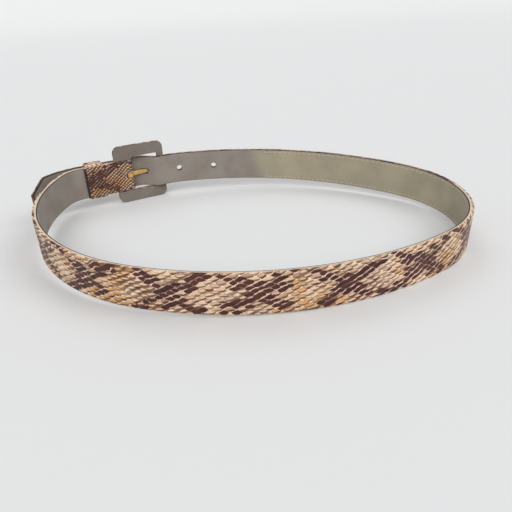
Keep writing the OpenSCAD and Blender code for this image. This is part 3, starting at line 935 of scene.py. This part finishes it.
KEEPER_S = -KEEPER_X
lining("turnback_lining", COVER_S, KEEPER_S - KEEPER_W - PANEL_GAP, GREY)
lining("buckle_end_lining", KEEPER_S + PANEL_GAP, POCKET_START - PANEL_GAP, GREY)
SLOT_HALF = (ZIP_LEN + POCKET_PAST) / 2
FRONT_S = strap.starts[FRONT] + seg_len(WALK[FRONT]) / 2
ZIP_SLOT = (FRONT_S, SLOT_HALF - SLOT_H / 2, SLOT_H / 2)
lining("pocket_lining", POCKET_START, POCKET_END, OLIVE, [ZIP_SLOT],
       SLOT_H / 2 + HOLE_MARGIN)
lining("tip_lining", POCKET_END + GLUE, STRAP_LEN - LINING_EDGE, TIP_GREY,
       FREE_HOLES + [worn_hole(0.0, LINING_T)])


# Stitches: short raised threads along both edges of the pocket lining and round the zip's slot
STITCH_PITCH = 3.8
STITCH_LEN = 2.7
STITCH_R = 0.26
STITCH_TILT = 4.0
STITCH_RINGS = 7
STITCH_SIDES = 6
EDGE_SEAM = 1.9
SLOT_SEAM = SLOT_H / 2 + 1.6
threads = Mesh()


def stitch(s, z):
    rings, uvs = [], []
    for f in divide(0, 1, STITCH_RINGS - 1):
        along = (f - 0.5) * STITCH_LEN
        r = STITCH_R * math.sqrt(max(0.02, 1 - (2 * f - 1) ** 4))
        p = strap.at(s + along * cosd(STITCH_TILT))
        up = z + along * sind(STITCH_TILT)
        lift = 0.06 + 0.1 * (1 - (2 * f - 1) ** 2)
        rings.append([threads.vert(beside(p, -lift - r * cosd(w) * 0.7, up + r * sind(w)))
                      for w in divide(0, 360, STITCH_SIDES)[:-1]])
        uvs.append([(s + along, z + 0.1 * j) for j in range(STITCH_SIDES)])
    threads.tube(rings, uvs)


def seam(start, length, heights):
    for k in range(int(length / STITCH_PITCH)):
        for z in heights:
            stitch(start + k * STITCH_PITCH, z)


seam(POCKET_START + 2.5, POCKET_END - POCKET_START - 2, (EDGE_SEAM, STRAP_W - EDGE_SEAM))
seam(FRONT_S - SLOT_HALF - 1, 2 * SLOT_HALF + 4, (MID_Z - SLOT_SEAM, MID_Z + SLOT_SEAM))
threads.piece("pocket_stitching", [THREAD], "belt", in_cad=False)


# Buckle: an outline open behind the heel bar, with the same number of points at every inset
ARC_STEPS = 8
OUTLINE_PARTS = (9, 11, 9, 1, 5, 1, 6, 8, 9, 1)
# Painted shade, in the ink colour, on the window's end wall at the rest bar
WALL_SHADE = -0.9
SHADE_PAST = 0.2


def arc_pts(cx, cz, r, a0, a1, steps=ARC_STEPS):
    return [(cx + r * cosd(a), cz + r * sind(a)) for a in divide(a0, a1, steps)]


def joined(arcs, parts):
    """A closed outline of arcs, where the straight from each to the next is divided into parts."""
    pts = []
    for k, count in enumerate(parts):
        pts += arcs[k]
        (xa, za), (xb, zb) = arcs[k][-1], arcs[(k + 1) % len(arcs)][0]
        pts += [(xa + (xb - xa) * f, za + (zb - za) * f) for f in divide(0, 1, count)[1:-1]]
    return pts


def buckle_outline(inset):
    x0, x1 = -EAR_LEN + inset, FRAME_REACH - inset
    z0, z1 = FRAME_LOW + inset, FRAME_TOP - inset
    w0, w1 = WINDOW_LOW - inset, WINDOW_TOP + inset
    hx, hz = HEEL_X - inset, HEEL_TOP + inset
    wx, wr = REST_X + inset, WINDOW_ROUND + inset
    ear = max(0.05, 0.4 - inset * 0.1)
    step_r = min(wr, w1 - hz - ear)
    r = max(0.2, min(FRAME_ROUND - inset, z1 - w1 - ear - 0.1))
    corners = [(x0 + r, z0 + r, r, 180, 270), (x1 - r, z0 + r, r, 270, 360), (x1 - r, z1 - r, r, 0, 90),
               (x0 + r, z1 - r, r, 90, 180), (x0 + ear, hz + ear, ear, 180, 270),
               (hx - ear, hz + ear, ear, 270, 360), (hx + step_r, w1 - step_r, step_r, 180, 90),
               (wx - wr, w1 - wr, wr, 90, 0), (wx - wr, w0 + wr, wr, 0, -90),
               (x0 + ear, w0 - ear, ear, 90, 180)]
    return joined([arc_pts(*c) for c in corners], OUTLINE_PARTS)


def window_end_shade(x, z):
    """Painted shade, in the ink colour, on the window's wall at the rest bar."""
    in_shade = abs(x - REST_X) < WINDOW_ROUND and WINDOW_LOW - SHADE_PAST < z < WINDOW_TOP + SHADE_PAST
    return WALL_SHADE if in_shade else 0.0


# Print coordinate of the heel bar on the buckle: the print reads any below 0 as the fold
PLATE_U = EAR_LEN + 3


def plate_loops(m, levels):
    """Loops of the buckle's outline at (inset, y, print inset) levels."""
    loops, uvs = [], []
    for inset, y, flat in levels:
        loops.append([m.vert((x, y, z), window_end_shade(x, z)) for x, z in buckle_outline(inset)])
        uvs.append([(x + PLATE_U, z) for x, z in buckle_outline(flat)])
    return loops, uvs


def side_round(r, steps=4):
    """(inset, depth below the face) along a quarter round, from the side to the face."""
    return [(drop, r - rise) for rise, drop in reversed(quarter_round(r, steps))]


BACK_Y = -FRAME_HALF + BACKING_T
CROWN = 0.12
WRAP_ROUND = 1.0
BACKING_INSET = 0.12
BACKING_ROUND = 0.3
wrap = Mesh()
levels = [(0.5, BACK_Y - 0.02, -2.6), (0.05, BACK_Y, -2.0)]
levels += [(e, FRAME_HALF - d, e - d * 0.9) for e, d in side_round(WRAP_ROUND)]
levels += [(1.5, FRAME_HALF + CROWN * 0.7, 1.5), (2.1, FRAME_HALF + CROWN, 2.1)]
wrap.tube(*plate_loops(wrap, levels))
wrap.piece("buckle_cover", [SNAKE], "buckle")

backing = Mesh()
levels = [(BACKING_INSET, BACK_Y, BACKING_INSET)]
levels += [(BACKING_INSET + e, -FRAME_HALF + d, BACKING_INSET + e) for e, d in side_round(BACKING_ROUND, 3)]
levels += [(1.4, -FRAME_HALF - 0.04, 1.4), (1.7, -FRAME_HALF, 1.7), (2.0, -FRAME_HALF - 0.05, 2.0)]
loops, uvs = plate_loops(backing, levels)
backing.loft(loops[:3], uvs[:3], 1)
backing.loft(loops[2:], uvs[2:])
backing.face(loops[-1], uvs[-1])
backing.face(loops[0], uvs[0], 1)
backing.piece("buckle_backing", [BACK_GREY, DARK_EDGE], "buckle")


# Keeper: a band round the doubled strap, in the plane across it
KEEPER_BEND = 0.35
KEEPER_INNER_T = 0.6


def keeper_path(out):
    """Rounded outline of the keeper at a distance out from its inside; its inner strand is thinner."""
    y0, y1 = PATH_Y + KEEPER_INNER_T + KEEPER_BEND, KEEPER_OUT - KEEPER_BEND
    z0, z1 = KEEPER_BEND - RUN_GAP, STRAP_W + RUN_GAP - KEEPER_BEND
    far = KEEPER_BEND + out
    near = KEEPER_BEND + out * KEEPER_INNER_T / KEEPER_T
    arcs = []
    for y, z, a in ((y1, z0, -90), (y1, z1, 0), (y0, z1, 90), (y0, z0, 180)):
        arcs.append([(y + (far if cosd(w) > 0 else near) * cosd(w), z + far * sind(w))
                     for w in divide(a, a + 90, 6)])
    return joined(arcs, (12, 4, 12, 4))


def lengths(pts):
    out = [0.0]
    for p, q in zip(pts, pts[1:] + pts[:1]):
        out.append(out[-1] + math.hypot(q[0] - p[0], q[1] - p[1]))
    return out


keeper = Mesh()
# Rounded edge, as (distance from the keeper's side, distance out)
rounding = [(0.35, 0.0), (0.1, 0.06), (0.0, 0.3), (0.0, KEEPER_T - 0.45), (0.13, KEEPER_T - 0.13),
            (0.45, KEEPER_T)]
section = [(KEEPER_X + a, o) for a, o in rounding]
section += [(KEEPER_X + x, KEEPER_T + 0.05) for x in spread(1.5, KEEPER_W - 1.5, 1.6)]
section += [(KEEPER_X + KEEPER_W - a, o) for a, o in reversed(rounding)]
round_way = lengths(section)
rings = [[keeper.vert((x, y, z), 1.0 if o < KEEPER_T - 0.2 else 0.0) for y, z in keeper_path(o)]
         for x, o in section]
rings.append(rings[0])
along = lengths(keeper_path(KEEPER_T))
count = len(rings[0])
for k, (a, b) in enumerate(zip(rings, rings[1:])):
    for j in range(count):
        q = (j + 1) % count
        (u0, u1), (v0, v1) = along[j:j + 2], round_way[k:k + 2]
        keeper.face((a[j], a[q], b[q], b[j]), ((u0, v0), (u1, v0), (u1, v1), (u0, v1)))
keeper.piece("keeper_loop", [SNAKE], "belt")


# Prong: an eye round the heel bar and a tapered bar with soft edges
PRONG_END = FRAME_REACH - PRONG_BACK
PRONG_MID = PRONG_LOW + PRONG_T / 2
TIP_FROM = 0.9
PRONG_NARROWS = 0.35
PRONG_THINS = 0.12
EYE_MID = (FOLD_R + EYE_R) / 2
EYE_HALF = (EYE_R - FOLD_R) / 2
EYE_FROM, EYE_TO = 85, 435
BOX_POINTS = 20


def soft_box(half_y, half_z, power):
    """Points of a soft-cornered box."""
    pts = []
    for a in divide(0, 360, BOX_POINTS)[:-1]:
        c, s = cosd(a), sind(a)
        pts.append((math.copysign(abs(c) ** (2 / power), c) * half_y,
                    math.copysign(abs(s) ** (2 / power), s) * half_z))
    return pts


prong = Mesh()
loops, uvs = [], []
for w in divide(EYE_FROM, EYE_TO, 36):
    box = [(EYE_MID + dy, MID_Z + dz) for dy, dz in soft_box(EYE_HALF, PRONG_W / 2, 5.0)]
    loops.append([prong.vert((r * cosd(w), r * sind(w), z)) for r, z in box])
    uvs.append([(w * 0.05, j * 0.4) for j in range(BOX_POINTS)])
prong.tube(loops, uvs)
loops, uvs = [], []
for f in divide(0, 1, 32):
    x = PRONG_END * f
    tip = max(0.0, (f - TIP_FROM) / (1 - TIP_FROM))
    round_tip = math.sqrt(max(0.04, 1 - tip * tip))
    half_z = (PRONG_W / 2 - PRONG_NARROWS * f) * round_tip
    half_y = (PRONG_T / 2 - PRONG_THINS * f) * (0.45 + 0.55 * round_tip)
    box = [(PRONG_MID + dy, MID_Z + dz) for dy, dz in soft_box(half_y, half_z, 3.4)]
    loops.append([prong.vert((x * cosd(PRONG_TILT) - y * sind(PRONG_TILT),
                              x * sind(PRONG_TILT) + y * cosd(PRONG_TILT), z)) for y, z in box])
    uvs.append([(x, j * 0.4) for j in range(BOX_POINTS)])
prong.tube(loops, uvs)
prong.piece("prong", [PRONG_METAL], "prong")


# Zip and pocket, on the front arc
def on_front(a, n, z):
    r = FRONT_R + n
    return (FRONT_C[0] + r * cosd(a), FRONT_C[1] + r * sind(a), MID_Z + z)


def arc_sheet(m, a0, a1, n0, n1, z0, z1, ripple=0.0):
    """A thin cloth band on the front arc, which may have a ripple."""
    rows = spread(z0, z1, 1.0)
    section = [(n1, z) for z in rows] + [(n0, z) for z in reversed(rows)]
    loops, uvs = [], []
    for i, a in enumerate(spread(a0, a1, 0.7)):
        wave = ripple * math.sin(i * 0.7) * 0.5
        loops.append([m.vert(on_front(a, n + wave * math.sin(z), z)) for n, z in section])
        uvs.append([(math.radians(a) * FRONT_R, z) for _, z in section])
    m.tube(loops, uvs)


POCKET_DEG = arc_deg(ZIP_LEN + 2 * POCKET_PAST) / 2
TAPE_DEG = POCKET_DEG - arc_deg(GLUE)
for side, name in ((1, "zip_tape_upper"), (-1, "zip_tape_lower")):
    m = Mesh()
    z0, z1 = TEETH_GAP / 2, POCKET_H / 2 - GLUE
    lo, hi = (z0, z1) if side > 0 else (-z1, -z0)
    arc_sheet(m, FRONT_MID - TAPE_DEG, FRONT_MID + TAPE_DEG, TAPE_N, BAG_N, lo, hi)
    m.piece(name, [TAPE], "belt")

CLOTH_T = 0.2
RIPPLE = 0.05
BAG_DEG = POCKET_DEG - 0.1
BAG_Z = POCKET_H / 2 - 0.1
bag = Mesh()
for n in (BAG_N + APART, CORE_N - BOARD_INSET - CLOTH_T):
    arc_sheet(bag, FRONT_MID - BAG_DEG, FRONT_MID + BAG_DEG, n, n + CLOTH_T, -BAG_Z, BAG_Z, RIPPLE)
bag.piece("pocket_bag", [CLOTH], "belt")

TOOTH_PITCH = 1.6


def drawn(points, centre, by):
    """Points moved towards a centre."""
    cx, cz = centre
    out = []
    for x, z in points:
        k = max(0.0, 1 - by / (math.hypot(x - cx, z - cz) or 1.0))
        out.append((cx + (x - cx) * k, cz + (z - cz) * k))
    return out


def prism(m, outline, n_levels, place):
    """An outline (along, up) lofted through (n, shrink) levels; place(along, n, up) gives the point."""
    centre = [sum(c) / len(outline) for c in zip(*outline)]
    loops = [[m.vert(place(x, n, z)) for x, z in drawn(outline, centre, shrink)] for n, shrink in n_levels]
    m.tube(loops, [outline] * len(loops))


def bevelled(n0, n1, r):
    return [(n0, r), (n0 + r * 0.3, r * 0.3), (n0 + r, 0.0), (n1 - r, 0.0), (n1 - r * 0.3, r * 0.3), (n1, r)]


TOOTH = [(-0.5, 1.75), (-0.5, 1.3), (-0.36, 1.05), (-0.5, 0.75), (-0.34, 0.45),
         (0.34, 0.45), (0.5, 0.75), (0.36, 1.05), (0.5, 1.3), (0.5, 1.75)]
for side, name in ((1, "zip_teeth_upper"), (-1, "zip_teeth_lower")):
    m = Mesh()
    for k in range(int(ZIP_LEN / TOOTH_PITCH)):
        along = (k + (0.3 if side > 0 else 0.7)) * TOOTH_PITCH
        a = ZIP_A - arc_deg(ZIP_LEN) + arc_deg(along)
        outline = [(x, side * z) for x, z in TOOTH]
        prism(m, outline, bevelled(TEETH_N, TAPE_N, 0.15),
              lambda x, n, z, a=a: on_front(a + arc_deg(x), n, z))
    m.piece(name, [ZIP_METAL], "belt")


def round_rect(x0, x1, z0, z1, r):
    corners = ((x1 - r, z1 - r, 0), (x0 + r, z1 - r, 90), (x0 + r, z0 + r, 180), (x1 - r, z0 + r, 270))
    return [p for cx, cz, a in corners for p in arc_pts(cx, cz, r, a, a + 90, 4)]


for name, a0 in (("zip_top_stop", ZIP_A), ("zip_bottom_stop", ZIP_A - arc_deg(ZIP_LEN + STOP_LEN))):
    m = Mesh()
    prism(m, round_rect(0.1, STOP_LEN - 0.1, -ROWS_Z, ROWS_Z, 0.45), bevelled(TEETH_N, TAPE_N, 0.25),
          lambda x, n, z, a0=a0: on_front(a0 + arc_deg(x), n, z))
    m.piece(name, [ZIP_METAL], "belt")


slider = Mesh()


def on_slider(x, n, z):
    """Flat place at the slider: x along the zip, n away from the wearer, z up."""
    px, py, pz = on_front(SLIDER_A, n, z)
    return (px - x * sind(SLIDER_A), py + x * cosd(SLIDER_A), pz)


def sidewise(lo, hi, r, x0, x1, n0, n1):
    """A slab of the slider with rounded ends in (x, n), lofted upwards from lo to hi."""
    prism(slider, round_rect(x0, x1, n0, n1, min(r, (x1 - x0) / 2.01, (n1 - n0) / 2.01)),
          bevelled(lo, hi, min(0.15, (hi - lo) / 3)), lambda x, z, n: on_slider(x, n, z))


def round_pin(m, sides, levels, v_from=0.0):
    """Loops of vertices round the pull's pin at (radius, z) levels, and their print coordinates."""
    turns = divide(0, 360, sides)[:-1]
    loops = [[m.vert(on_slider(r * cosd(w), PIN_N + r * sind(w), z)) for w in turns] for r, z in levels]
    return loops, [[(k * 0.2, z + r - v_from) for k in range(sides)] for r, z in levels]


LUG_LEN = PULL_PIN_D + 2 * LUG_WALL
LUG_T = 0.7
LUG_LOW = LUG_Z + RUN_GAP / 2
POST_Z = TEETH_GAP / 2 - RUN_GAP / 2
BACK_N = BAG_N + RUN_GAP / 2
half_len = SLIDER_LEN / 2
shield = [(-half_len, -PLATE_Z * 0.72), (-half_len * 0.2, -PLATE_Z * 0.8), (half_len * 0.45, -PLATE_Z),
          (half_len * 0.9, -PLATE_Z), (half_len, -PLATE_Z * 0.7), (half_len * 0.86, 0.0)]
shield = shield + [(x, -z) for x, z in reversed(shield[:-1])]
prism(slider, shield, bevelled(PLATE_N - PLATE_T, PLATE_N, 0.2), on_slider)
for side in (1, -1):
    lo, hi = sorted((side * (ROWS_Z + RUN_GAP), side * PLATE_Z * 0.99))
    sidewise(lo, hi, 0.2, -half_len * 0.1, half_len * 0.95, PLATE_N - 0.1, LINING_T - RUN_GAP)
    lo, hi = sorted((side * LUG_LOW, side * (LUG_LOW + LUG_T)))
    sidewise(lo, hi, 0.8, -LUG_LEN / 2, LUG_LEN / 2, PIN_N - LUG_LEN / 2, PLATE_N - PLATE_T + 0.2)
sidewise(-POST_Z, POST_Z, 0.1, -half_len / 3, half_len / 3, PLATE_N - 0.1, BACK_N + 0.1)
back = [(x * 0.98, z * ROWS_Z / PLATE_Z) for x, z in shield]
prism(slider, back, bevelled(BACK_N, BACK_N + PLATE_T, 0.15), on_slider)
pin_levels = [(PIN_R, z) for z in spread(-LUG_LOW - 0.1, LUG_LOW + 0.1, 0.6)]
slider.loft(*round_pin(slider, 12, pin_levels, PIN_R))
slider.piece("zip_slider", [ZIP_METAL], "slider")


# Pull: a flat tab with a rounded end and a hole, and an eye on the slider's pin
pull = Mesh()
EYE_OUT = PULL_T / 2 + PIN_R
NECK_STEP = 1.2
EYE_BEVEL = 0.12
RIM_BEVEL = 0.15
TAB_BEVEL = 0.22
TAB_STEP = 0.07
half_h = PULL_H / 2
hole, hole_r = (-PULL_LEN * 0.8, 0.0), PULL_H / 4
neck_from, neck_to = half_h - PULL_LEN, NECK_STEP - LUG_LEN - PLATE_T
outline = arc_pts(neck_from, 0.0, half_h, 90, 270, 24)
neck = [(x, -half_h + (half_h - LUG_Z) * ((x - neck_from) / (neck_to - neck_from)) ** 2)
        for x in spread(neck_from, neck_to, NECK_STEP)[1:]]
neck.append((-EYE_OUT * 0.5, -LUG_Z))
outline += neck + [(x, -z) for x, z in reversed(neck)]
rim = [drawn([p], hole, math.dist(p, hole) - hole_r)[0] for p in outline]
wide_rim = drawn(rim, hole, -RIM_BEVEL)
t = PULL_T / 2
tab_half = [(t - TAB_BEVEL, 0.0), (t - TAB_STEP, TAB_STEP), (t, TAB_BEVEL)]
tab_whole = [(-n, d) for n, d in reversed(tab_half)] + tab_half
levels = [(drawn(outline, hole, d), n) for n, d in tab_whole]
levels += [(wide_rim, t), (rim, t - RIM_BEVEL), (rim, RIM_BEVEL - t), (wide_rim, -t)]
pull.ring([[pull.vert(on_slider(x, PIN_N + n, z)) for x, z in points] for points, n in levels],
          [points for points, _ in levels])
PIN_HOLE = PIN_R + PIN_FIT
eye_half = [(EYE_OUT, LUG_Z - EYE_BEVEL), (EYE_OUT - EYE_BEVEL, LUG_Z), (PIN_HOLE, LUG_Z)]
pull.ring(*round_pin(pull, 24, [(r, -z) for r, z in reversed(eye_half)] + eye_half))
pull.piece("zip_pull", [ZIP_METAL], "pull")

# Nodes that keep their CAD shape
for name in ("heel_bar", "buckle_frame"):
    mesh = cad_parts[name].data
    mesh.materials.clear()
    mesh.materials.append(STEEL)

# Camera at the photograph's place: its plan was fitted to the strap's two edges
PHOTO_TURN = 29.0
PHOTO_SHIFT = np.array([-92.0, 73.76])
CAMERA_PLAN = np.array([2.73, -292.29])
CAMERA_HEIGHT = 144.22
PITCH = 29.53
ROLL = -1.62
FOCAL_PX = 500.0
PICTURE_PX = 512.0
SENSOR = 36.0
around = spin(-PHOTO_TURN, "Z")
eye = around @ Vector((*(CAMERA_PLAN - PHOTO_SHIFT), CAMERA_HEIGHT))
lens = bpy.data.cameras.new("camera")
lens.sensor_width = SENSOR
lens.lens = SENSOR * FOCAL_PX / PICTURE_PX
lens.clip_start = 0.01
camera = placed("camera", lens)
turn = spin(LEAN, "X") @ around @ spin(90 - PITCH, "X") @ spin(ROLL, "Z")
camera.matrix_world = Matrix.Translation(ROW @ eye) @ turn
bpy.context.scene.camera = camera

# Floor and light
floor_mesh = bpy.data.meshes.new("floor")
FLAT_R = 3.0
SWEEP_R = 2.0
SIDES = 72
SWEEP = [(0.01, 0.0)] + arc_pts(FLAT_R, SWEEP_R, SWEEP_R, -90, -20, 14)
ring = arc_pts(0.0, 0.0, 1.0, 0, 360, SIDES)[:-1]
ground = [(r * c, r * s, h) for r, h in SWEEP for c, s in ring]
quads = [(i * SIDES + k, (i + 1) * SIDES + k, (i + 1) * SIDES + (k + 1) % SIDES, i * SIDES + (k + 1) % SIDES)
         for i in range(len(SWEEP) - 1) for k in range(SIDES)]
floor_mesh.from_pydata(ground, [], quads + [tuple(range(SIDES))])
floor_mesh.shade_smooth()
floor = placed("floor", floor_mesh)
paper = Graph("floor_paper")
paper.set(Base_Color=(0.72, 0.72, 0.715), Roughness=0.9)
floor_mesh.materials.append(paper.material)


SUN_DEG = 35


def sun(name, way, power):
    """Soft, even light from a direction."""
    light = bpy.data.lights.new(name, "SUN")
    light.angle = math.radians(SUN_DEG)
    light.energy = power
    lamp = placed(name, light)
    lamp.location = way
    lamp.rotation_euler = Vector(way).to_track_quat("Z", "Y").to_euler()


sun("key", (-0.45, -0.65, 0.62), 1.6)
sun("fill", (0.55, -0.5, 0.68), 0.8)
sun("back", (0.1, 0.6, 0.8), 0.4)
world = bpy.data.worlds.new("world")
bpy.context.scene.world = world
world.use_nodes = True
sky = world.node_tree.nodes["Background"].inputs
sky["Color"].default_value = (0.95, 0.97, 1.0, 1.0)
sky["Strength"].default_value = 0.5
bpy.context.scene.view_settings.view_transform = "Standard"
